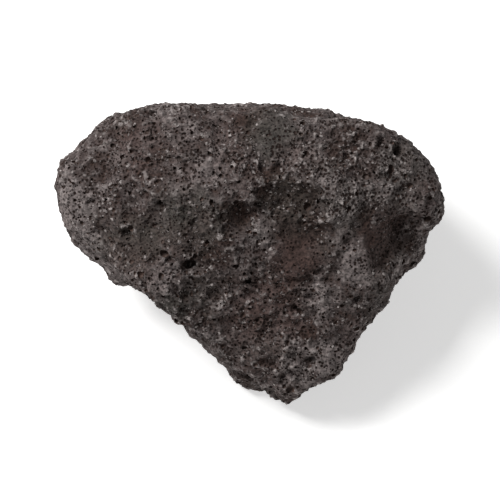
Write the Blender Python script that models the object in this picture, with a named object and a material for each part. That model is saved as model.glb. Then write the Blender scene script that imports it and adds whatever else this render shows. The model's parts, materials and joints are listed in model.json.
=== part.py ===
"""One lump of lava rock (scoria): a broken block with worn edges, riddled with gas bubbles.

The stone is shaped in the plane of its broad face: x runs along the face, y up it and z straight out of
it. It is then tipped forward by LEAN and set down on its underside, which is worn flat where it touches.
Metres, +Z up. The origin is on the ground, under the middle of the stone's box.
"""

import math
import random

import bmesh
import bpy
from mathutils import Matrix, Vector, noise

MM = 0.001

# Driving dimensions. Everything else is set out from these.
LENGTH = 70.0 * MM  # of the block, along the broad face, before its corners are worn
STAND = 19.0 * MM  # from the middle of the stone down to its underside
LEAN = math.radians(20)  # the broad face looks this far forward of straight up

# Fracture facets: what each is, its bearing in the broad face and its rise out of it in degrees, and how
# far it lies from the middle of the stone, as a share of LENGTH.
FACETS = (
    # the outline, going round from the right
    ("right end", 15, 8, 0.497),
    ("top right shoulder", 49, 8, 0.420),
    ("top right", 69, 6, 0.396),
    ("top edge, right", 83, 5, 0.293),
    ("top edge, left", 91, 4, 0.289),
    ("top left", 117, 6, 0.396),
    ("left shoulder", 132, 8, 0.448),
    ("left tip", 147, 8, 0.512),
    ("left end", 195, 10, 0.446),
    ("left corner", 208, 10, 0.442),
    ("lower left", 232, 12, 0.300),
    ("bottom left corner", 247, 6, 0.464),
    ("bottom tip", 271, 6, 0.482),
    ("bottom right", 288, 5, 0.481),
    ("bottom right corner", 304, 4, 0.480),
    ("lower right, below", 315, 6, 0.420),
    ("lower right", 328, 9, 0.411),
    # the broad face
    ("upper band", 90, 65, 0.252),
    ("upper left band", 137, 66, 0.296),
    ("upper right band", 47, 66, 0.302),
    ("left slope", 210, 66, 0.268),
    ("right slope", 340, 69, 0.282),
    ("lower slope", 270, 68, 0.201),
    # the underside
    ("back undercut", 80, -42, 0.335),
    ("left undercut", 170, -38, 0.365),
    ("right undercut", 10, -40, 0.375),
    ("left heel", 225, -35, 0.318),
    ("right heel", 320, -33, 0.366),
)
CRISPNESS = 34.0  # of the edges between facets: higher is sharper

# Hollows broken out of the stone, each by a squashed ball. Each has the bearing and rise of the direction
# that it bites from, the place along and up the stone as seen from there, how far the ball's middle lies
# over the surface, its half sizes, its turn in the surface and how far it is tipped to bite deeper at the
# top, in degrees.
FROM_FACE = (270, 90)
SCOOPS = (
    # the dark ledge under the crest, in three bites
    (FROM_FACE, (8.2 * MM, 8.2 * MM), 1.6 * MM, (7.6 * MM, 5.4 * MM, 5.8 * MM), -6, 16),
    (FROM_FACE, (9.8 * MM, 2.6 * MM), 1.0 * MM, (5.6 * MM, 3.6 * MM, 4.0 * MM), -16, 12),
    (FROM_FACE, (-0.6 * MM, 5.6 * MM), 1.0 * MM, (4.6 * MM, 3.0 * MM, 3.5 * MM), 24, 10),
    # the wider one by the right corner
    (FROM_FACE, (27.0 * MM, 0.4 * MM), 3.0 * MM, (8.6 * MM, 7.4 * MM, 6.0 * MM), -14, 10),
    # the left slope's long dip
    (FROM_FACE, (-16.5 * MM, 3.4 * MM), 6.0 * MM, (13.0 * MM, 5.8 * MM, 7.2 * MM), -14, 0),
    # the waist of the lower left edge
    ((230, 0), (1.5 * MM, -6.0 * MM), 5.2 * MM, (16.0 * MM, 12.0 * MM, 7.0 * MM), 0, 0),
    # under the stone, so that it stands round the rim
    ((270, -90), (1.0 * MM, 5.5 * MM), 5.6 * MM, (18.0 * MM, 13.0 * MM, 8.6 * MM), 15, 0),
)

# Lumps and hollows left by the flow: size across, and height.
LUMPS = ((17.0 * MM, 1.3 * MM), (8.0 * MM, 1.2 * MM), (4.2 * MM, 0.7 * MM))
# Shallow chips that meet in ridges, over all of it: size across, and depth.
CHIPS = ((9.0 * MM, 1.1 * MM), (5.0 * MM, 0.7 * MM))
CHIP_SHIFT = Vector((8.3, 0.9, -5.8))  # which part of the endless pattern falls on this stone
CHIP_LEVEL = 0.37  # of a chip's depth: where its hollow and its ridge balance

# The large bubbles that stand out on the broad face: place along and up it, and radius.
FACE_BUBBLES = (
    ((-9.7 * MM, -2.2 * MM), 1.65 * MM),
    ((-13.6 * MM, -1.7 * MM), 0.95 * MM),
    ((-27.5 * MM, 8.4 * MM), 1.15 * MM),
    ((-30.4 * MM, 11.6 * MM), 0.85 * MM),
    ((-21.2 * MM, 3.2 * MM), 1.25 * MM),
    ((0.3 * MM, -7.4 * MM), 1.05 * MM),
    ((23.8 * MM, 19.2 * MM), 1.1 * MM),
    ((8.7 * MM, -10.4 * MM), 0.95 * MM),
)
# Patches of the face where the skin of the flow is whole, with no bubbles: place, and radius.
CLOSED_SKIN = (
    ((6.6 * MM, -0.4 * MM), 4.5 * MM),
    ((21.8 * MM, 1.8 * MM), 4.0 * MM),
    ((4.0 * MM, 20.0 * MM), 4.0 * MM),
)
FACE_MIDDLE = Vector((0, -5.0 * MM, 0))  # where places on the face are counted from

# The bubbles spread over the whole stone. Depths and gaps are in radii of the bubble.
BUBBLES = 125
BUBBLE_RADII = (0.6 * MM, 1.3 * MM)
BUBBLE_DEPTHS = (0.0, 0.45)
FACE_BUBBLE_DEPTH = 0.25
BUBBLE_GAP = 0.35
BUBBLE_SQUASH = 0.75  # the flattest one, as a share of its radius
SEED = 11

# Fineness of the balls that cut them: each step splits every triangle in four.
SCOOP_SPLITS = 3
BUBBLE_SPLITS = 1

SKIN = 1.1 * MM  # edge of the fine mesh that is shaped
KEPT_FACES = 3600  # left of it once it is shaped
WORN_OFF = 1.0 * MM  # of the lowest lumps, where the stone rests
SHARP = math.radians(20)  # edges that bend more than this are shaded sharp

SCORIA = (0.075, 0.058, 0.054, 1.0)
SCORIA_ROUGHNESS = 0.95


def direction(bearing, rise):
    """A unit vector from a bearing in the broad face and a rise out of it, in degrees."""
    b, r = math.radians(bearing), math.radians(rise)
    return Vector((math.cos(b) * math.cos(r), math.sin(b) * math.cos(r), math.sin(r)))


def planes():
    """(outward normal, distance from the middle) of every facet and of the underside."""
    found = [(direction(bearing, rise), share * LENGTH) for _, bearing, rise, share in FACETS]
    down = Vector((0, -math.sin(LEAN), -math.cos(LEAN)))
    return found + [(down, STAND)]


def reach(towards, facets):
    """How far the worn block reaches from its middle: to the nearest facet, rounded into the next."""
    total = sum(max(0.0, towards.dot(normal) / far) ** CRISPNESS for normal, far in facets)
    return total ** (-1 / CRISPNESS)


def relief(point):
    """How far the skin of the stone stands out here: its lumps, less its chips."""
    height = sum(rise * noise.noise(point / across) for across, rise in LUMPS)
    for across, depth in CHIPS:
        nearest, second, *_ = noise.voronoi(point / across + CHIP_SHIFT)[0]
        height -= depth * (second - nearest - CHIP_LEVEL)
    return height


def apply_modifier(obj, kind, **settings):
    """Adds one modifier with these settings and applies it."""
    modifier = obj.modifiers.new(kind.title(), kind)
    for name, value in settings.items():
        setattr(modifier, name, value)
    bpy.context.view_layer.objects.active = obj
    bpy.ops.object.modifier_apply(modifier=modifier.name)


def worn_block():
    """The block between its facets, with round-shouldered edges."""
    bpy.ops.mesh.primitive_ico_sphere_add(subdivisions=6, radius=1.0)
    block = bpy.context.object
    block.name = "lava_rock"
    facets = planes()
    for vertex in block.data.vertices:
        towards = vertex.co.normalized()
        vertex.co = towards * reach(towards, facets)
    return block


def add_lumps(block):
    """Meshes the block evenly, softens the marks of that, and moves its surface in and out."""
    apply_modifier(block, "REMESH", mode="VOXEL", voxel_size=SKIN)
    apply_modifier(block, "SMOOTH", factor=0.5, iterations=2)
    moves = [vertex.normal * relief(vertex.co) for vertex in block.data.vertices]
    for vertex, move in zip(block.data.vertices, moves):
        vertex.co += move


def surface_point(block, bearing_and_rise, place):
    """The point of the block at a place as seen from this direction, and the normal there."""
    bearing, rise = bearing_and_rise
    across, outward = direction(bearing + 90, 0), direction(bearing, rise)
    x, y = place
    start = FACE_MIDDLE + x * across + y * outward.cross(across) + LENGTH * outward
    _, point, normal, _ = block.ray_cast(start, -outward)
    return point, normal


def balls(name, splits, matrices):
    """A cutter: for each matrix, a ball of radius 1 that it places, turns and stretches."""
    shaped = bmesh.new()
    for matrix in matrices:
        bmesh.ops.create_icosphere(shaped, subdivisions=splits, radius=1.0, matrix=matrix)
    mesh = bpy.data.meshes.new(name)
    shaped.to_mesh(mesh)
    shaped.free()
    cutter = bpy.data.objects.new(name, mesh)
    bpy.context.scene.collection.objects.link(cutter)
    return cutter


def cut(block, cutters):
    """Cuts each of these away, and does away with the cutters."""
    for cutter in cutters:
        apply_modifier(block, "BOOLEAN", operation="DIFFERENCE", solver="EXACT", object=cutter)
        bpy.data.objects.remove(cutter)


def scoop_cutters(block):
    """A cutter for each scoop, square to the surface where it bites."""
    made = []
    for side, place, lift, sizes, turn, bite in SCOOPS:
        point, normal = surface_point(block, side, place)
        matrix = (
            Matrix.Translation(point + normal * lift)
            @ normal.to_track_quat("Z", "Y").to_matrix().to_4x4()
            @ Matrix.Rotation(math.radians(turn), 4, "Z")
            @ Matrix.Rotation(math.radians(-bite), 4, "X")
            @ Matrix.Diagonal((*sizes, 1.0))
        )
        made.append(balls("scoop", SCOOP_SPLITS, [matrix]))
    return made


def bubble_places(block):
    """(middle, radius) of every bubble, none of them touching another."""
    chance = random.Random(SEED)
    found = []
    for place, radius in FACE_BUBBLES:
        point, normal = surface_point(block, FROM_FACE, place)
        found.append((point - normal * FACE_BUBBLE_DEPTH * radius, radius))
    closed = [(surface_point(block, FROM_FACE, place)[0], radius) for place, radius in CLOSED_SKIN]
    polygons = block.data.polygons
    areas = [polygon.area for polygon in polygons]
    while len(found) < len(FACE_BUBBLES) + BUBBLES:
        polygon = chance.choices(polygons, areas)[0]
        radius = chance.triangular(*BUBBLE_RADII, BUBBLE_RADII[0])
        middle = polygon.center - polygon.normal * radius * chance.uniform(*BUBBLE_DEPTHS)
        if any((middle - point).length < far for point, far in closed):
            continue
        if all((middle - other).length > (1 + BUBBLE_GAP) * (radius + far) for other, far in found):
            found.append((middle, radius))
    return found


def bubble_cutter(block):
    """All the bubbles as one cutter, each a little squashed and turned its own way."""
    chance = random.Random(SEED + 1)
    matrices = []
    for middle, radius in bubble_places(block):
        axis = Vector([chance.gauss(0, 1) for _ in range(3)])
        turn = Matrix.Rotation(chance.uniform(0, math.tau), 4, axis)
        squashed = radius * chance.uniform(BUBBLE_SQUASH, 1.0)
        matrices.append(Matrix.Translation(middle) @ turn @ Matrix.Diagonal((radius, squashed, radius, 1.0)))
    return balls("bubbles", BUBBLE_SPLITS, matrices)


def ground_cutter():
    bpy.ops.mesh.primitive_cube_add(size=2 * LENGTH, location=(0, 0, -LENGTH))
    return bpy.context.object


def set_on_ground(block):
    """Leans the stone back and wears its lowest lumps flat, with the origin under its middle."""
    block.data.transform(Matrix.Rotation(LEAN, 4, "X"))
    lowest = min(vertex.co.z for vertex in block.data.vertices)
    block.data.transform(Matrix.Translation((0, 0, -lowest - WORN_OFF)))
    cut(block, [ground_cutter()])
    points = [vertex.co for vertex in block.data.vertices]
    middle = [(min(p[axis] for p in points) + max(p[axis] for p in points)) / 2 for axis in (0, 1)]
    block.data.transform(Matrix.Translation((-middle[0], -middle[1], 0)))


def finish_surface(block):
    block.data.shade_smooth()
    block.data.set_sharp_from_angle(angle=SHARP)
    scoria = bpy.data.materials.new("weathered scoria")
    scoria.use_nodes = True
    shader = scoria.node_tree.nodes["Principled BSDF"]
    shader.inputs["Base Color"].default_value = SCORIA
    shader.inputs["Roughness"].default_value = SCORIA_ROUGHNESS
    block.data.materials.clear()
    block.data.materials.append(scoria)


def main():
    for old in list(bpy.data.objects):
        bpy.data.objects.remove(old)
    block = worn_block()
    cut(block, scoop_cutters(block))
    add_lumps(block)
    apply_modifier(block, "TRIANGULATE")
    apply_modifier(block, "DECIMATE", ratio=KEPT_FACES / len(block.data.polygons))
    cut(block, [bubble_cutter(block)])
    set_on_ground(block)
    finish_surface(block)


main()
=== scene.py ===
"""A lump of lava rock (scoria) with its finished surface, on a pale studio floor.

The stone is dark basalt froth, cooled while gas was still leaving it. Its skin is a fine mesh over the
construction solid: hackly between the bubbles, cut through by thousands of them, and closed in a few smooth
patches. Lengths are in metres, +Z up, and the broad face looks forward (-Y) and up.
"""

import json
import math

import bpy
import numpy as np
from bpy.props import FloatProperty, FloatVectorProperty, IntProperty, PointerProperty
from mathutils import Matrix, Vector, kdtree, noise

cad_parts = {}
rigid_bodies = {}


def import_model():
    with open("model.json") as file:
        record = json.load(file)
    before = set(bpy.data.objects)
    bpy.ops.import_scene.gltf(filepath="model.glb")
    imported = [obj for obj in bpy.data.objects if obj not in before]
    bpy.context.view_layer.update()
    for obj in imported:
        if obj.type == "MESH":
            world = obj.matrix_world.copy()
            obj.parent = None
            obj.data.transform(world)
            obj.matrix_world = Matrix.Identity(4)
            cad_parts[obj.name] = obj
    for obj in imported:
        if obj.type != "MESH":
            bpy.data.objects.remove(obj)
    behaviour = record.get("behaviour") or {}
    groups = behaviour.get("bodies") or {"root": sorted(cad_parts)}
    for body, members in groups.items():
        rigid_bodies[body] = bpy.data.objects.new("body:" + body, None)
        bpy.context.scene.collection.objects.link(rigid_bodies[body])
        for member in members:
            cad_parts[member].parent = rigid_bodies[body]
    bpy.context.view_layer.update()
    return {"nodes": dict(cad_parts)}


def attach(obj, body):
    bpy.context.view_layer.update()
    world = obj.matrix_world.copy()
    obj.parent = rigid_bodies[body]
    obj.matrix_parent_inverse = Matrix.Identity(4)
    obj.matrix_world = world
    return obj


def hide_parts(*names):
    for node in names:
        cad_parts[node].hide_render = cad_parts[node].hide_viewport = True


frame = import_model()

bl_info = {
    "name": "Lava rock",
    "version": (1, 0, 0),
    "blender": (4, 5, 0),
    "location": "View3D > Sidebar > Lava rock",
    "description": "Builds the porous skin of a lump of scoria over its solid, and a studio stage",
    "category": "Mesh",
}

MM = 0.001
NODE = "lava_rock"

# The view that shows the broad face square on.
VIEW_RISE = math.radians(70)
TOWARDS_VIEWER = Vector((0, -math.cos(VIEW_RISE), math.sin(VIEW_RISE)))
UP_THE_FACE = Vector((0, math.sin(VIEW_RISE), math.cos(VIEW_RISE)))
STONE_MIDDLE = Vector((0, 0, 18.0 * MM))
FACE_MIDDLE = STONE_MIDDLE - 2.25 * MM * UP_THE_FACE  # where places on the face are counted from
FAR_OUTSIDE = 0.1  # from the face's middle to a point well clear of the stone

# Spots on the broad face, in millimetres: the place along and up it, the radius, and how strong the spot is.
# Whole skin of the flow, with hardly a bubble.
CLOSED_SKIN = (
    ((7.7, -0.2), 4.2, 1.0),
    ((22.0, 1.6), 3.8, 0.8),
    ((3.9, 20.0), 3.6, 0.8),
    ((18.8, -2.9), 2.6, 1.0),
)
# Froth with thin bright walls, pale with wear and painted highlight, and many pin-pricks painted dark as
# shade.
FROTHY = (
    ((17.0, 14.0), 7.0, 1.0),
    ((24.0, 11.5), 6.0, 1.0),
    ((10.0, 15.5), 4.5, 0.8),
    ((15.4, 8.7), 4.8, 1.0),
    ((-1.0, 17.0), 5.0, 0.5),
    ((-26.0, 12.0), 5.0, 0.3),
    ((8.0, -18.0), 5.0, 0.4),
)
# Paler crust, partly dust and partly painted light: along the top of the face, on the rims, on the foot and
# on a few high spots.
DUST_AND_PAINTED_LIGHT = (
    ((-21.7, 17.3), 3.2, 0.5),
    ((-9.9, 21.2), 3.2, 0.4),
    ((-8.0, 16.0), 3.2, 0.7),
    ((-13.9, 26.0), 4.0, 0.4),
    ((-31.5, 8.0), 5.0, 1.1),
    ((-29.0, 2.5), 3.6, 0.95),
    ((-26.0, -2.0), 2.6, 0.8),
    ((-21.5, -5.0), 2.4, 0.7),
    ((12.9, 12.1), 2.2, 1.0),
    ((18.6, 10.8), 2.4, 1.0),
    ((16.6, 7.4), 2.8, 0.8),
    ((25.6, 10.8), 3.6, 0.7),
    ((24.6, 15.3), 3.5, 0.5),
    ((30.5, 14.5), 3.0, 0.5),
    ((29.0, 10.0), 3.2, 0.6),
    ((1.4, 3.6), 1.6, 1.0),
    ((18.8, -2.9), 3.6, 0.9),
    ((13.5, -7.5), 3.0, 0.6),
    ((-15.2, -4.9), 3.0, 1.2),
    ((8.0, -22.0), 4.0, 0.8),
    ((13.5, -18.6), 4.0, 0.8),
    ((7.7, -18.6), 3.0, 0.5),
)
# Darker crust, partly bare crust and partly painted shade: in the ledge and the scoop, along the left slope,
# and in a few low spots.
SOOT_AND_PAINTED_SHADE = (
    ((3.8, 11.4), 3.4, 0.95),
    ((-2.8, 6.2), 3.6, 0.9),
    ((8.3, 4.6), 5.0, 1.3),
    ((7.4, 9.0), 4.0, 1.6),
    ((12.0, 5.4), 2.6, 0.8),
    ((22.4, 3.8), 5.6, 0.5),
    ((29.0, 3.4), 4.5, 0.2),
    ((-6.0, 1.0), 4.0, 0.7),
    ((-9.7, 5.2), 5.0, 0.75),
    ((-19.8, 5.0), 4.5, 0.5),
    ((5.1, -7.5), 3.0, 0.6),
    ((10.9, -14.1), 3.0, 0.6),
    ((-0.1, -10.8), 4.0, 0.5),
    ((-30.0, 10.1), 1.8, 0.6),
    ((0.5, 23.1), 4.5, 0.7),
    ((0.0, -24.5), 3.0, 0.5),
    ((17.0, 18.0), 6.0, 0.25),
    ((7.2, -1.6), 4.5, 1.0),
)
# Altered, greener crust.
GREY_GREEN = (
    ((-10.6, 5.5), 7.0, 1.0),
    ((-20.0, 1.5), 6.0, 1.0),
    ((-24.5, 1.5), 3.6, 0.8),
    ((-13.5, -10.5), 4.0, 1.0),
    ((3.4, 20.5), 5.5, 1.0),
    ((27.0, 15.0), 5.5, 0.7),
    ((6.5, 8.0), 6.0, 0.6),
)
# Oxidised, redder crust.
RED_BROWN = (
    ((8.0, -1.2), 4.6, 1.0),
    ((23.0, 2.0), 5.5, 0.8),
    ((2.5, -10.5), 8.0, 1.0),
    ((30.0, 11.0), 3.5, 0.4),
    ((-20.0, 19.0), 6.0, 0.7),
)
ZONE_EDGE = (1.2, 0.5)  # where a zone starts and where it is whole, in radii of its spot
ZONE_WARP = 6.4 * MM  # noise pulls the edges of these zones about by up to half of this
DUST_AND_LIGHT_SHIFT = 1.2  # of the crust's tone, where a spot of strength 1 has dust and painted light
# of the crust's tone, where a spot of strength 1 has dark crust and painted shade
SOOT_AND_SHADE_SHIFT = -1.25
FROTH_SHIFT = 0.17  # of how pores, grains and pale rims, worn and with painted highlight, crowd, where a spot of strength 1 is frothy

# The finest relief, which is left to the materials.
GRIT_HEIGHT = 0.2 * MM
PORE_DEPTH = 0.14 * MM
LINING_HEIGHT = 0.08 * MM
GRAINS = ((1.0, 0.38), (0.65, 0.36))  # millimetres apart, and the largest radius as a share of that
GRAIN_BEND = 0.6 * MM  # how far the grit pulls a grain's outline about
GRAIN_STAND = 0.8  # how far a grain stands out, in the grit's height
FEW_BRIGHT = 3.2  # the more, the fewer of the grains are bright

# The skin's relief, from coarse to fine.
SMOOTHING = {"factor": 0.5, "iterations": 4}  # takes the steps out of the even mesh
CRAG_ACROSS = 3.2 * MM
FOAM_CELLS = ((2.1 * MM, 1.0), (1.25 * MM, 0.62))  # across, and the share of the foam's depth
GRAIN_ACROSS = 0.8 * MM
TRIANGLES_BEFORE_BUBBLES = 98000
CREASE = math.radians(30)  # sharper edges are shaded as edges

# How open the skin is: the share of its bubbles that broke through.
OPEN_SHARE = 0.75
OPEN_SWING = 0.5  # either way from that, in patches
OPEN_PATCH = 9.0 * MM
LEAST_OPEN = 0.06
CLOSED_EDGE = (0.75, 1.25)  # where the skin starts to open and where it is open, in radii of a closed spot
OPEN_STEPS = 20  # in which a group's weights rise

# The bubbles, in batches: how many are tried, their radii, and the level of their ball.
BUBBLE_BATCHES = (
    (320, (0.45 * MM, 0.9 * MM), 2),
    (4600, (0.27 * MM, 0.5 * MM), 1),
    (3000, (0.18 * MM, 0.3 * MM), 0),
)
LEAN_TO_SMALL = 2.0  # 1 is as many large ones as small ones
BALL_SUNK = (0.0, 0.65)  # its middle below the skin, in radii
BALL_GAP = 1.12  # between the middles of two bubbles, in the sum of their radii
BALL_WIDTH = (0.62, 1.0)  # this and its height are in its length
BALL_HEIGHT = (0.8, 1.1)
BALL_LUMPS = 0.13  # either way, in radii
OCTAHEDRON_RADIUS = 1.15  # past 1, because its flat sides lie far inside its corners

GROUND_CUT = 200.0 * MM  # edge of the block that takes off what is below the ground
DEGENERATE = 0.002 * MM  # shorter edges are closed up
MENDING_ROUNDS = 3
CRUST, LINING = 0, 1  # the stone's material slots

# The stage.
FLOOR_WIDTH = 4.0
AIM = STONE_MIDDLE - 2.0 * MM * UP_THE_FACE  # what the camera and the key light point at
KEY_PLACE = (-0.46, 0.25, 0.715)
KEY_WIDTH = 0.35


def linear(code):
    """The linear colour of an sRGB hex code."""
    parts = [int(code[i : i + 2], 16) / 255 for i in (0, 2, 4)]
    return [p / 12.92 if p <= 0.04045 else ((p + 0.055) / 1.055) ** 2.4 for p in parts]


def add(tree, kind, inputs=None, **settings):
    """Adds a node to the tree. An input is a value, or the output socket that feeds it."""
    made = tree.nodes.new(kind)
    for name, value in settings.items():
        setattr(made, name, value)
    for name, value in (inputs or {}).items():
        if isinstance(value, bpy.types.NodeSocket):
            tree.links.new(value, made.inputs[name])
        else:
            made.inputs[name].default_value = value
    return made


def apply_modifier(obj, kind, **settings):
    """Gives the object a modifier of this kind and these settings, and applies it."""
    modifier = obj.modifiers.new(kind.title(), kind)
    for name, value in settings.items():
        setattr(modifier, name, value)
    bpy.context.view_layer.objects.active = obj
    bpy.ops.object.modifier_apply(modifier=modifier.name)


# ---------------------------------------------------------------------------------------------------------
# The stone's shape


def copy_of_solid(name):
    """The construction solid's mesh as an object of its own, with its corners joined up."""
    bpy.ops.object.select_all(action="DESELECT")
    solid = frame["nodes"][NODE]
    stone = bpy.data.objects.new(name, solid.data.copy())
    bpy.context.scene.collection.objects.link(stone)
    stone.data.materials.clear()
    stone.select_set(True)
    apply_modifier(stone, "WELD", merge_threshold=0.001 * MM)
    return stone


def roughen(stone, kind, across, height, where="", **pattern_settings):
    """Moves the skin in and out by a pattern of this size and height, all over or where a group says."""
    pattern = bpy.data.textures.new("roughness", kind)
    pattern.noise_scale = across
    for name, value in pattern_settings.items():
        setattr(pattern, name, value)
    apply_modifier(
        stone,
        "DISPLACE",
        texture=pattern,
        texture_coords="LOCAL",
        direction="NORMAL",
        strength=height,
        mid_level=0.5,
        vertex_group=where,
    )
    bpy.data.textures.remove(pattern)


def on_face(stone, place):
    """The point of the stone that the viewer sees at a place on the broad face, given in millimetres."""
    along, up = place
    start = FACE_MIDDLE + Vector((along * MM, 0, 0)) + up * MM * UP_THE_FACE + FAR_OUTSIDE * TOWARDS_VIEWER
    hit, point, _, _ = stone.ray_cast(start, -TOWARDS_VIEWER)
    if not hit:
        raise RuntimeError(f"nothing of the stone is at {place}")
    return point


def surface(stone):
    """(middles, normals, running total of area) of the stone's faces."""
    polygons = stone.data.polygons
    middles = np.empty(len(polygons) * 3)
    normals = np.empty(len(polygons) * 3)
    areas = np.empty(len(polygons))
    polygons.foreach_get("center", middles)
    polygons.foreach_get("normal", normals)
    polygons.foreach_get("area", areas)
    return middles.reshape(-1, 3), normals.reshape(-1, 3), np.cumsum(areas)


def openness(point, closed):
    """How many of the bubbles here broke through: 1 is all of them, 0 none."""
    share = OPEN_SHARE + OPEN_SWING * noise.noise(point / OPEN_PATCH)
    shut, opened = CLOSED_EDGE
    for middle, radius in closed:
        far = (point - middle).length / radius
        share *= min(1.0, max(LEAST_OPEN, (far - shut) / (opened - shut)))
    return share


def mark_open_skin(stone, name, closed):
    """A group of the stone's corners that weighs each by how open its skin is."""
    group = stone.vertex_groups.new(name=name)
    alike = [[] for _ in range(OPEN_STEPS + 1)]
    for vertex in stone.data.vertices:
        alike[round(OPEN_STEPS * min(1.0, max(0.0, openness(vertex.co, closed))))].append(vertex.index)
    for step, corners in enumerate(alike):
        group.add(corners, step / OPEN_STEPS, "REPLACE")


def scattered(points, radii):
    """Which of these balls to keep, largest first, so that none touches another."""
    order = np.argsort(-radii)
    tree = kdtree.KDTree(len(order))
    for i in order:
        tree.insert(points[i], int(i))
    tree.balance()
    dropped = set()
    kept = []
    for i in order:
        if i in dropped:
            continue
        kept.append(i)
        for _, j, apart in tree.find_range(points[i], BALL_GAP * 2 * radii[i]):
            if j != i and apart < BALL_GAP * (radii[i] + radii[j]):
                dropped.add(j)
    return kept


def ball(level):
    """(corners, triangles) of a ball of radius 1: an octahedron at level 0, and an icosphere above that."""
    if level:
        bpy.ops.mesh.primitive_ico_sphere_add(subdivisions=level, radius=1.0)
    else:
        bpy.ops.mesh.primitive_uv_sphere_add(segments=4, ring_count=2, radius=OCTAHEDRON_RADIUS)
        bpy.ops.object.mode_set(mode="EDIT")
        bpy.ops.mesh.quads_convert_to_tris()
        bpy.ops.object.mode_set(mode="OBJECT")
    made = bpy.context.object
    corners = np.array([v.co for v in made.data.vertices])
    triangles = np.array([p.vertices for p in made.data.polygons])
    bpy.data.objects.remove(made)
    return corners, triangles


def bubbles(stone, seed, tried, radii, level, closed):
    """A cutter: lumpy balls half sunk in the skin, none touching another."""
    chance = np.random.default_rng(seed)
    middles, normals, total = surface(stone)
    faces = np.searchsorted(total, chance.random(tried) * total[-1])
    opened = chance.random(tried) < [openness(Vector(middles[f]), closed) for f in faces]
    faces = faces[opened]
    sizes = radii[0] * (radii[1] / radii[0]) ** (chance.random(len(faces)) ** LEAN_TO_SMALL)
    depths = chance.uniform(*BALL_SUNK, len(faces)) * sizes
    points = middles[faces] - normals[faces] * depths[:, None]
    kept = scattered([Vector(p) for p in points], sizes)

    corners, triangles = ball(level)
    verts, tris = [], []
    for count, i in enumerate(kept):
        turn = np.linalg.qr(chance.normal(size=(3, 3)))[0]
        turn *= np.linalg.det(turn)
        stretch = sizes[i] * np.array([1.0, chance.uniform(*BALL_WIDTH), chance.uniform(*BALL_HEIGHT)])
        lumpy = corners * (1 + chance.uniform(-BALL_LUMPS, BALL_LUMPS, (len(corners), 1)))
        verts.append((lumpy * stretch) @ turn.T + points[i])
        tris.append(triangles + count * len(corners))
    mesh = bpy.data.meshes.new("bubbles")
    mesh.from_pydata(np.vstack(verts).tolist(), [], np.vstack(tris).tolist())
    cutter = bpy.data.objects.new("bubbles", mesh)
    bpy.context.scene.collection.objects.link(cutter)
    return cutter


def cut(stone, cutter, slot):
    """Cuts the cutter's shape out, and gives the new walls the material in this slot of the stone."""
    for material in stone.data.materials:
        cutter.data.materials.append(material)
    cutter.data.polygons.foreach_set("material_index", [slot] * len(cutter.data.polygons))
    apply_modifier(
        stone,
        "BOOLEAN",
        operation="DIFFERENCE",
        solver="MANIFOLD",
        material_mode="INDEX",
        object=cutter,
    )
    bpy.data.objects.remove(cutter)


def wear_flat(stone):
    """Takes off what reaches below the ground, where the stone rests."""
    bpy.ops.mesh.primitive_cube_add(size=GROUND_CUT, location=(0, 0, -0.5 * GROUND_CUT))
    cut(stone, bpy.context.object, CRUST)


def thin_out(stone, triangles):
    """Collapses the edges that matter least, until the stone has this many triangles."""
    apply_modifier(stone, "TRIANGULATE")
    apply_modifier(stone, "DECIMATE", ratio=min(1.0, triangles / len(stone.data.polygons)))


def clean(stone):
    """Leaves the stone one closed skin, with no crumbs of it loose and nothing under the ground."""
    bpy.ops.object.select_all(action="DESELECT")
    stone.select_set(True)
    bpy.context.view_layer.objects.active = stone
    bpy.ops.object.mode_set(mode="EDIT")
    bpy.ops.mesh.select_mode(type="VERT")
    bpy.ops.mesh.select_all(action="SELECT")
    bpy.ops.mesh.dissolve_degenerate(threshold=DEGENERATE)
    for _ in range(MENDING_ROUNDS):
        bpy.ops.mesh.select_all(action="DESELECT")
        bpy.ops.mesh.select_non_manifold()
        bpy.ops.mesh.delete(type="VERT")
        bpy.ops.mesh.select_non_manifold()
        bpy.ops.mesh.fill_holes(sides=0)
        bpy.ops.mesh.select_all(action="SELECT")
        bpy.ops.mesh.quads_convert_to_tris()
    bpy.ops.mesh.select_all(action="DESELECT")
    bpy.ops.object.mode_set(mode="OBJECT")
    max(stone.data.vertices, key=lambda vertex: vertex.co.z).select = True
    bpy.ops.object.mode_set(mode="EDIT")
    bpy.ops.mesh.select_linked()
    bpy.ops.mesh.select_all(action="INVERT")
    bpy.ops.mesh.delete(type="VERT")
    bpy.ops.object.mode_set(mode="OBJECT")
    for vertex in stone.data.vertices:
        vertex.co.z = max(0.0, vertex.co.z)


# ---------------------------------------------------------------------------------------------------------
# The stone's finish. A colour Mix node takes its share at input 0 and its colours at 6 and 7.


def size_of(millimetres):
    """The Scale of a pattern whose features are this far apart, on coordinates in metres."""
    return 1 / (millimetres * MM)


def pulled_about(tree, place):
    """The place, moved a little by noise, so that zones read on it have ragged edges."""
    drift = add(tree, "ShaderNodeTexNoise", {"Vector": place, "Scale": size_of(5.0), "Detail": 4.0})
    pull = add(
        tree,
        "ShaderNodeVectorMath",
        {0: drift.outputs["Color"], 1: (0.5, 0.5, 0.5)},
        operation="SUBTRACT",
    )
    return add(
        tree,
        "ShaderNodeVectorMath",
        {0: pull.outputs[0], 1: (ZONE_WARP,) * 3, 2: place},
        operation="MULTIPLY_ADD",
    ).outputs[0]


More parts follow.
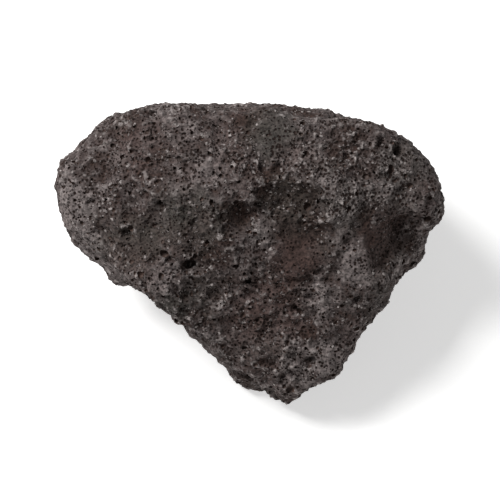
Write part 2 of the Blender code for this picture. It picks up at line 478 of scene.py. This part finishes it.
def zone(tree, ragged, stone, spots):
    """How far a point is inside some spots: a spot's strength well inside it, and 0 outside them all."""
    start, whole = ZONE_EDGE
    inside = None
    for place, radius, strength in spots:
        far = add(
            tree,
            "ShaderNodeVectorMath",
            {0: ragged, 1: on_face(stone, place)},
            operation="DISTANCE",
        )
        near = add(
            tree,
            "ShaderNodeMapRange",
            {
                "Value": far.outputs["Value"],
                "From Min": start * radius * MM,
                "From Max": whole * radius * MM,
                "To Max": strength,
            },
            interpolation_type="SMOOTHSTEP",
        )
        if inside is None:
            inside = near.outputs["Result"]
        else:
            most = add(tree, "ShaderNodeMath", {0: inside, 1: near.outputs["Result"]}, operation="MAXIMUM")
            inside = most.outputs[0]
    return inside


def crust_tone_with_painted_light(tree, settings, stone, place, ragged, ridges):
    """The crust's main colour: by zones paler with dust and painted light or darker with painted shade, in
    clouds, and paler on every ridge with dust and painted highlight, darker in every hollow as painted shade.
    """
    clouds = add(
        tree,
        "ShaderNodeTexNoise",
        {"Vector": place, "Scale": size_of(5.5), "Detail": 5.0, "Roughness": 0.75},
    )
    cloudy = add(
        tree,
        "ShaderNodeMapRange",
        {"Value": clouds.outputs["Fac"], "From Min": 0.3, "From Max": 0.7, "To Min": -1.1, "To Max": 1.1},
    )
    # pale on ridges with dust and painted highlight, dark in hollows as painted shade
    ridge_dust_and_hollow_shade = add(
        tree,
        "ShaderNodeMapRange",
        {"Value": ridges, "From Min": 0.44, "From Max": 0.56, "To Min": -0.5, "To Max": 0.5},
    )
    tone = add(tree, "ShaderNodeMath", {0: cloudy.outputs["Result"], 1: ridge_dust_and_hollow_shade.outputs["Result"]})
    for spots, shift in ((DUST_AND_PAINTED_LIGHT, DUST_AND_LIGHT_SHIFT), (SOOT_AND_PAINTED_SHADE, SOOT_AND_SHADE_SHIFT)):
        tone = add(
            tree,
            "ShaderNodeMath",
            {0: zone(tree, ragged, stone, spots), 1: shift, 2: tone.outputs[0]},
            operation="MULTIPLY_ADD",
        )
    colour = (*settings.crust, 1)
    # the pale end is dust and painted light, the dark end dark crust and painted shade
    for tint, way in ((settings.ash_and_painted_light, 1.0), (settings.soot_and_painted_shade, -1.0)):
        share = add(
            tree, "ShaderNodeMath", {0: tone.outputs[0], 1: way}, operation="MULTIPLY", use_clamp=True
        )
        colour = add(
            tree,
            "ShaderNodeMix",
            {0: share.outputs[0], 6: colour, 7: (*tint, 1)},
            data_type="RGBA",
        ).outputs[2]
    return colour


def altered(tree, settings, stone, place, ragged, colour):
    """The colour with its greener and redder areas: those of the broad face, and others by chance."""
    for tint, spots, across, most in (
        (settings.green, GREY_GREEN, 13.0, 0.75),
        (settings.red, RED_BROWN, 11.0, 0.6),
    ):
        wild = add(tree, "ShaderNodeTexNoise", {"Vector": place, "Scale": size_of(across), "Detail": 4.0})
        by_chance = add(
            tree,
            "ShaderNodeMapRange",
            {"Value": wild.outputs["Fac"], "From Min": 0.52, "From Max": 0.68, "To Max": 0.7},
        )
        inside = add(
            tree,
            "ShaderNodeMath",
            {0: zone(tree, ragged, stone, spots), 1: by_chance.outputs["Result"]},
            operation="MAXIMUM",
        )
        share = add(tree, "ShaderNodeMath", {0: inside.outputs[0], 1: most}, operation="MULTIPLY")
        colour = add(
            tree,
            "ShaderNodeMix",
            {0: share.outputs[0], 6: colour, 7: (*tint, 1)},
            data_type="RGBA",
        ).outputs[2]
    return colour


def crowding(tree, place, frothy, across, detail):
    """Where small things crowd together: in patches this far apart, and all over the froth."""
    patches = add(tree, "ShaderNodeTexNoise", {"Vector": place, "Scale": size_of(across), "Detail": detail})
    return add(
        tree,
        "ShaderNodeMath",
        {0: frothy, 1: FROTH_SHIFT, 2: patches.outputs["Fac"]},
        operation="MULTIPLY_ADD",
    ).outputs[0]


def pin_pricks(tree, settings, place, frothy, colour):
    """(colour, depth from 0 to 1) of the crust with its pores: 0.2 to 0.6 mm, widest where they crowd, each
    painted dark as the shade inside it.
    """
    cells = add(tree, "ShaderNodeTexVoronoi", {"Vector": place, "Scale": size_of(0.62)})
    reach = add(
        tree,
        "ShaderNodeMapRange",
        {
            "Value": crowding(tree, place, frothy, 3.0, 2.0),
            "From Min": 0.35,
            "From Max": 0.65,
            "To Min": 0.16,
            "To Max": 0.53,
        },
    )
    ratio = add(
        tree,
        "ShaderNodeMath",
        {0: cells.outputs["Distance"], 1: reach.outputs["Result"]},
        operation="DIVIDE",
    )
    depth = add(
        tree,
        "ShaderNodeMapRange",
        {"Value": ratio.outputs[0], "From Min": 1.15, "From Max": 0.55},
        interpolation_type="SMOOTHSTEP",
    ).outputs["Result"]
    # the pore's darkness is painted shade, for holes too small to model
    pricked = add(
        tree,
        "ShaderNodeMix",
        {0: depth, 6: colour, 7: (*settings.pore, 1)},
        data_type="RGBA",
    )
    return pricked.outputs[2], depth


def standing_grains(tree, settings, place, grit, crowd, rough, colour):
    """(colour, relief) of the crust with the grains that stand out of it: most pale, some bright feldspar."""
    bent = add(
        tree,
        "ShaderNodeVectorMath",
        {0: grit.outputs["Color"], 1: (GRAIN_BEND,) * 3, 2: place},
        operation="MULTIPLY_ADD",
    )
    least = add(
        tree,
        "ShaderNodeMapRange",
        {"Value": crowd, "From Min": 0.38, "From Max": 0.62, "To Min": 1.0, "To Max": 0.35},
    )
    relief = grit.outputs["Fac"]
    for apart, largest in GRAINS:
        cells = add(tree, "ShaderNodeTexVoronoi", {"Vector": bent.outputs[0], "Scale": size_of(apart)})
        lot = add(tree, "ShaderNodeSeparateColor", {0: cells.outputs["Color"]})
        drawn = add(
            tree, "ShaderNodeMath", {0: lot.outputs[0], 1: least.outputs["Result"]}, operation="GREATER_THAN"
        )
        within = add(
            tree,
            "ShaderNodeMapRange",
            {
                "Value": cells.outputs["Distance"],
                "From Min": largest,
                "From Max": 0.5 * largest,
                "To Max": rough,
            },
            interpolation_type="SMOOTHSTEP",
        )
        grain = add(
            tree,
            "ShaderNodeMath",
            {0: drawn.outputs[0], 1: within.outputs["Result"]},
            operation="MULTIPLY",
        ).outputs[0]
        bright = add(tree, "ShaderNodeMath", {0: lot.outputs[1], 1: FEW_BRIGHT}, operation="POWER")
        tint = add(
            tree,
            "ShaderNodeMix",
            {0: bright.outputs[0], 6: (*settings.ash_and_painted_light, 1), 7: (*settings.fleck_and_glint, 1)},
            data_type="RGBA",
        )
        colour = add(
            tree,
            "ShaderNodeMix",
            {0: grain, 6: colour, 7: tint.outputs[2]},
            data_type="RGBA",
        ).outputs[2]
        relief = add(
            tree,
            "ShaderNodeMath",
            {0: grain, 1: GRAIN_STAND, 2: relief},
            operation="MULTIPLY_ADD",
        ).outputs[0]
    return colour, relief


def pale_and_glinting_rims(tree, settings, place, crowd, rough, ridges, colour):
    """The colour with the froth's thin walls pale along their rims, broken and bright: partly worn and partly
    painted highlight.
    """
    rim = add(
        tree,
        "ShaderNodeMapRange",
        {"Value": ridges, "From Min": 0.515, "From Max": 0.575},
        interpolation_type="SMOOTHSTEP",
    )
    rim_share = add(
        tree,
        "ShaderNodeMapRange",
        {"Value": crowd, "From Min": 0.38, "From Max": 0.6, "To Min": 0.1, "To Max": 0.85},
    )
    specks = add(tree, "ShaderNodeTexNoise", {"Vector": place, "Scale": size_of(0.75), "Detail": 1.0})
    broken = add(
        tree,
        "ShaderNodeMapRange",
        {"Value": specks.outputs["Fac"], "From Min": 0.4, "From Max": 0.54},
    )
    pale = rough
    for share in (rim_share, broken, rim):
        pale = add(
            tree,
            "ShaderNodeMath",
            {0: pale, 1: share.outputs["Result"]},
            operation="MULTIPLY",
        ).outputs[0]
    # the pale rims are partly wear and partly painted highlight
    return add(
        tree,
        "ShaderNodeMix",
        {0: pale, 6: colour, 7: (*settings.fleck_and_glint, 1)},
        data_type="RGBA",
    ).outputs[2]


def scoria_crust(settings, stone):
    """Weathered scoria: a dull, gritty crust with pores too fine to model, and no gloss at all. Its colour
    also holds painted shade in the hollows, pores, ledge and scoop, and painted light on ridges, rims and the
    top of the face.
    """
    material = bpy.data.materials.new("weathered scoria crust")
    material.use_nodes = True
    tree = material.node_tree
    tree.nodes.clear()
    place = add(tree, "ShaderNodeTexCoord").outputs["Object"]
    ridges = add(tree, "ShaderNodeNewGeometry").outputs["Pointiness"]
    ragged = pulled_about(tree, place)
    frothy = zone(tree, ragged, stone, FROTHY)
    smooth = zone(tree, ragged, stone, CLOSED_SKIN)
    rough = add(tree, "ShaderNodeMath", {0: 1.0, 1: smooth}, operation="SUBTRACT").outputs[0]
    crowd = crowding(tree, place, frothy, 2.6, 3.0)

    colour = crust_tone_with_painted_light(tree, settings, stone, place, ragged, ridges)
    colour = altered(tree, settings, stone, place, ragged, colour)

    # grit: light and dark specks, under half a millimetre apart
    grit = add(tree, "ShaderNodeTexNoise", {"Vector": place, "Scale": size_of(0.45), "Detail": 3.0})
    gritty = add(
        tree,
        "ShaderNodeMapRange",
        {"Value": grit.outputs["Fac"], "From Min": 0.3, "From Max": 0.7, "To Min": 0.38, "To Max": 1.66},
    )
    colour = add(
        tree,
        "ShaderNodeVectorMath",
        {0: colour, 1: gritty.outputs["Result"]},
        operation="MULTIPLY",
    ).outputs[0]

    colour, pore = pin_pricks(tree, settings, place, frothy, colour)
    colour, relief = standing_grains(tree, settings, place, grit, crowd, rough, colour)
    colour = pale_and_glinting_rims(tree, settings, place, crowd, rough, ridges, colour)

    # the grit and grains stand out, and the pores are sunk
    raised = add(tree, "ShaderNodeMath", {0: relief, 1: GRIT_HEIGHT}, operation="MULTIPLY")
    height = add(
        tree,
        "ShaderNodeMath",
        {0: pore, 1: -PORE_DEPTH, 2: raised.outputs[0]},
        operation="MULTIPLY_ADD",
    )
    bump = add(tree, "ShaderNodeBump", {"Height": height.outputs[0], "Distance": 1.0})
    shader = add(
        tree,
        "ShaderNodeBsdfPrincipled",
        {
            "Base Color": colour,
            "Normal": bump.outputs["Normal"],
            "Roughness": 0.95,
            "IOR": 1.55,
            "Specular IOR Level": 0.25,
        },
    )
    add(tree, "ShaderNodeOutputMaterial", {"Surface": shader.outputs[0]})
    return material


def bubble_lining(settings):
    """Quenched walls of the gas bubbles: darker, finer and a touch smoother than the crust."""
    material = bpy.data.materials.new("quenched scoria lining")
    material.use_nodes = True
    tree = material.node_tree
    tree.nodes.clear()
    place = add(tree, "ShaderNodeTexCoord").outputs["Object"]
    clouds = add(tree, "ShaderNodeTexNoise", {"Vector": place, "Scale": size_of(2.5), "Detail": 4.0})
    shade = add(
        tree,
        "ShaderNodeMapRange",
        {"Value": clouds.outputs["Fac"], "From Min": 0.35, "From Max": 0.65, "To Min": 0.6, "To Max": 1.5},
    )
    colour = add(
        tree,
        "ShaderNodeVectorMath",
        {0: settings.lining, 1: shade.outputs["Result"]},
        operation="MULTIPLY",
    )
    grit = add(tree, "ShaderNodeTexNoise", {"Vector": place, "Scale": size_of(0.3), "Detail": 2.0})
    raised = add(tree, "ShaderNodeMath", {0: grit.outputs["Fac"], 1: LINING_HEIGHT}, operation="MULTIPLY")
    bump = add(tree, "ShaderNodeBump", {"Height": raised.outputs[0], "Distance": 1.0})
    shader = add(
        tree,
        "ShaderNodeBsdfPrincipled",
        {"Base Color": colour.outputs[0], "Normal": bump.outputs["Normal"], "Roughness": 0.7, "IOR": 1.55},
    )
    add(tree, "ShaderNodeOutputMaterial", {"Surface": shader.outputs[0]})
    return material


class LavaRockStone(bpy.types.PropertyGroup):
    skin_edge: FloatProperty(
        name="Skin edge", description="Edge of the even mesh that the skin starts from",
        default=0.4 * MM, min=0.3 * MM, unit="LENGTH", precision=5,
    )
    head_start: FloatProperty(
        name="Head start", description="How far outside the solid the skin starts, before it is carved",
        default=0.24 * MM, min=0.0, unit="LENGTH", precision=5,
    )
    crag_height: FloatProperty(
        name="Crags", description="Height of the hackly relief, 3 mm across",
        default=0.9 * MM, min=0.0, unit="LENGTH", precision=5,
    )
    foam_depth: FloatProperty(
        name="Foam", description="Depth of the broken-open froth, in cells 2 mm across",
        default=1.0 * MM, min=0.0, unit="LENGTH", precision=5,
    )
    grain_height: FloatProperty(
        name="Grain", description="Height of the coarse grain, 0.8 mm across",
        default=0.3 * MM, min=0.0, unit="LENGTH", precision=5,
    )
    triangles: IntProperty(
        name="Triangles", description="The most that the finished skin has",
        default=196000, min=20000, max=199000,
    )
    seed: IntProperty(name="Seed", description="Of the bubbles' places", default=7)
    crust: FloatVectorProperty(
        name="Crust", description="Weathered crust, purplish brown",
        subtype="COLOR", default=linear("4e4543"), min=0.0, max=1.0,
    )
    # Pale end of the crust's tone: dust, and painted light along the top of the face and on the rims; also
    # the pale grains' colour
    ash_and_painted_light: FloatVectorProperty(
        name="Ash", description="Paler crust on the ridges, pinkish grey with dust",
        subtype="COLOR", default=linear("746b69"), min=0.0, max=1.0,
    )
    # Dark end of the crust's tone: dark crust, and painted shade in the hollows, the ledge and the scoop
    soot_and_painted_shade: FloatVectorProperty(
        name="Soot", description="Bare dark crust in the hollows",
        subtype="COLOR", default=linear("392b26"), min=0.0, max=1.0,
    )
    green: FloatVectorProperty(
        name="Grey-green", description="Altered, greener crust",
        subtype="COLOR", default=linear("474440"), min=0.0, max=1.0,
    )
    red: FloatVectorProperty(
        name="Red-brown", description="Oxidised crust",
        subtype="COLOR", default=linear("503f3b"), min=0.0, max=1.0,
    )
    lining: FloatVectorProperty(
        name="Lining", description="Walls of the bubbles",
        subtype="COLOR", default=linear("43322b"), min=0.0, max=1.0,
    )
    # painted shade inside the pores that are too small to model
    pore: FloatVectorProperty(
        name="Pores", description="Pin-pricks too fine to model",
        subtype="COLOR", default=linear("211510"), min=0.0, max=1.0,
    )
    # Also the colour of the painted highlights on the rims
    fleck_and_glint: FloatVectorProperty(
        name="Flecks", description="Pale feldspar grains and grit",
        subtype="COLOR", default=linear("b6adaa"), min=0.0, max=1.0,
    )


class LAVAROCK_OT_stone(bpy.types.Operator):
    """Builds the porous stone over its solid, and gives it its weathered finish"""

    bl_idname = "lavarock.stone"
    bl_label = "Make the stone"

    def execute(self, context):
        settings = context.scene.lava_rock_stone
        stone = copy_of_solid("lava_rock_skin")
        apply_modifier(stone, "REMESH", mode="VOXEL", voxel_size=settings.skin_edge)
        apply_modifier(stone, "SMOOTH", **SMOOTHING)
        apply_modifier(stone, "DISPLACE", direction="NORMAL", strength=settings.head_start, mid_level=0.0)
        closed = [(on_face(stone, place), radius * MM) for place, radius, _ in CLOSED_SKIN]
        roughen(stone, "CLOUDS", CRAG_ACROSS, settings.crag_height, noise_depth=2)
        mark_open_skin(stone, "open", closed)
        for across, share in FOAM_CELLS:
            depth = share * settings.foam_depth
            roughen(stone, "VORONOI", across, depth, where="open", distance_metric="DISTANCE_SQUARED")
        roughen(stone, "CLOUDS", GRAIN_ACROSS, settings.grain_height, noise_depth=1)
        thin_out(stone, TRIANGLES_BEFORE_BUBBLES)
        stone.data.materials.append(scoria_crust(settings, stone))
        stone.data.materials.append(bubble_lining(settings))
        wear_flat(stone)
        for batch, (tried, radii, level) in enumerate(BUBBLE_BATCHES):
            cut(stone, bubbles(stone, settings.seed + batch, tried, radii, level, closed), LINING)
        thin_out(stone, settings.triangles)
        clean(stone)
        stone.select_set(True)
        context.view_layer.objects.active = stone
        bpy.ops.object.shade_smooth_by_angle(angle=CREASE)
        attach(stone, "root")
        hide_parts(NODE)
        return {"FINISHED"}


# ---------------------------------------------------------------------------------------------------------
# The stage


class LavaRockStage(bpy.types.PropertyGroup):
    floor: FloatVectorProperty(
        name="Floor", description="Pale seamless paper",
        subtype="COLOR", default=linear("f2f2f1"), min=0.0, max=1.0,
    )
    key: FloatProperty(name="Key", description="Soft box at the upper left", default=7.9, unit="POWER")
    glow: FloatProperty(name="Glow", description="Light through the floor from below", default=0.55)
    sky: FloatProperty(name="Sky", description="Even light from all round", default=0.16)
    distance: FloatProperty(
        name="Camera distance", description="From the stone's middle", default=0.55, unit="LENGTH",
    )
    width: FloatProperty(
        name="Picture width", description="How much of the stage the picture spans, at the stone",
        default=90.0 * MM, unit="LENGTH",
    )


class LAVAROCK_OT_stage(bpy.types.Operator):
    """Sets out the pale floor, the soft light and the camera"""

    bl_idname = "lavarock.stage"
    bl_label = "Make the stage"

    def execute(self, context):
        settings = context.scene.lava_rock_stage
        bpy.ops.object.select_all(action="DESELECT")
        bpy.ops.mesh.primitive_plane_add(size=FLOOR_WIDTH)
        floor = context.object
        floor.name = "floor"
        paper = bpy.data.materials.new("seamless paper")
        paper.use_nodes = True
        shader = paper.node_tree.nodes["Principled BSDF"]
        shader.inputs["Base Color"].default_value = (*settings.floor, 1)
        shader.inputs["Roughness"].default_value = 0.9
        shader.inputs["Emission Color"].default_value = (1, 1, 1, 1)
        shader.inputs["Emission Strength"].default_value = settings.glow
        floor.data.materials.append(paper)

        bpy.ops.object.light_add(type="AREA", location=KEY_PLACE)
        key = context.object
        key.data.size = KEY_WIDTH
        key.data.energy = settings.key
        key.rotation_euler = (AIM - key.location).to_track_quat("-Z", "Y").to_euler()

        world = bpy.data.worlds.new("studio")
        world.use_nodes = True
        world.node_tree.nodes["Background"].inputs["Color"].default_value = (1, 1, 1, 1)
        world.node_tree.nodes["Background"].inputs["Strength"].default_value = settings.sky
        context.scene.world = world

        bpy.ops.object.camera_add(location=AIM + settings.distance * TOWARDS_VIEWER)
        camera = context.object
        camera.rotation_euler = (-TOWARDS_VIEWER).to_track_quat("-Z", "Y").to_euler()
        camera.data.lens = camera.data.sensor_width * settings.distance / settings.width
        context.scene.camera = camera
        context.scene.view_settings.view_transform = "Standard"
        return {"FINISHED"}


class LAVAROCK_PT_panel(bpy.types.Panel):
    bl_label = "Lava rock"
    bl_space_type = "VIEW_3D"
    bl_region_type = "UI"
    bl_category = "Lava rock"

    def draw(self, context):
        for group, operator in (
            (context.scene.lava_rock_stone, "lavarock.stone"),
            (context.scene.lava_rock_stage, "lavarock.stage"),
        ):
            for name in group.__annotations__:
                self.layout.prop(group, name)
            self.layout.operator(operator)


CLASSES = (LavaRockStone, LavaRockStage, LAVAROCK_OT_stone, LAVAROCK_OT_stage, LAVAROCK_PT_panel)


def register():
    for cls in CLASSES:
        bpy.utils.register_class(cls)
    bpy.types.Scene.lava_rock_stone = PointerProperty(type=LavaRockStone)
    bpy.types.Scene.lava_rock_stage = PointerProperty(type=LavaRockStage)


def unregister():
    del bpy.types.Scene.lava_rock_stage
    del bpy.types.Scene.lava_rock_stone
    for cls in reversed(CLASSES):
        bpy.utils.unregister_class(cls)


def main():
    register()
    bpy.ops.lavarock.stone()
    bpy.ops.lavarock.stage()


if __name__ == "__main__":
    main()
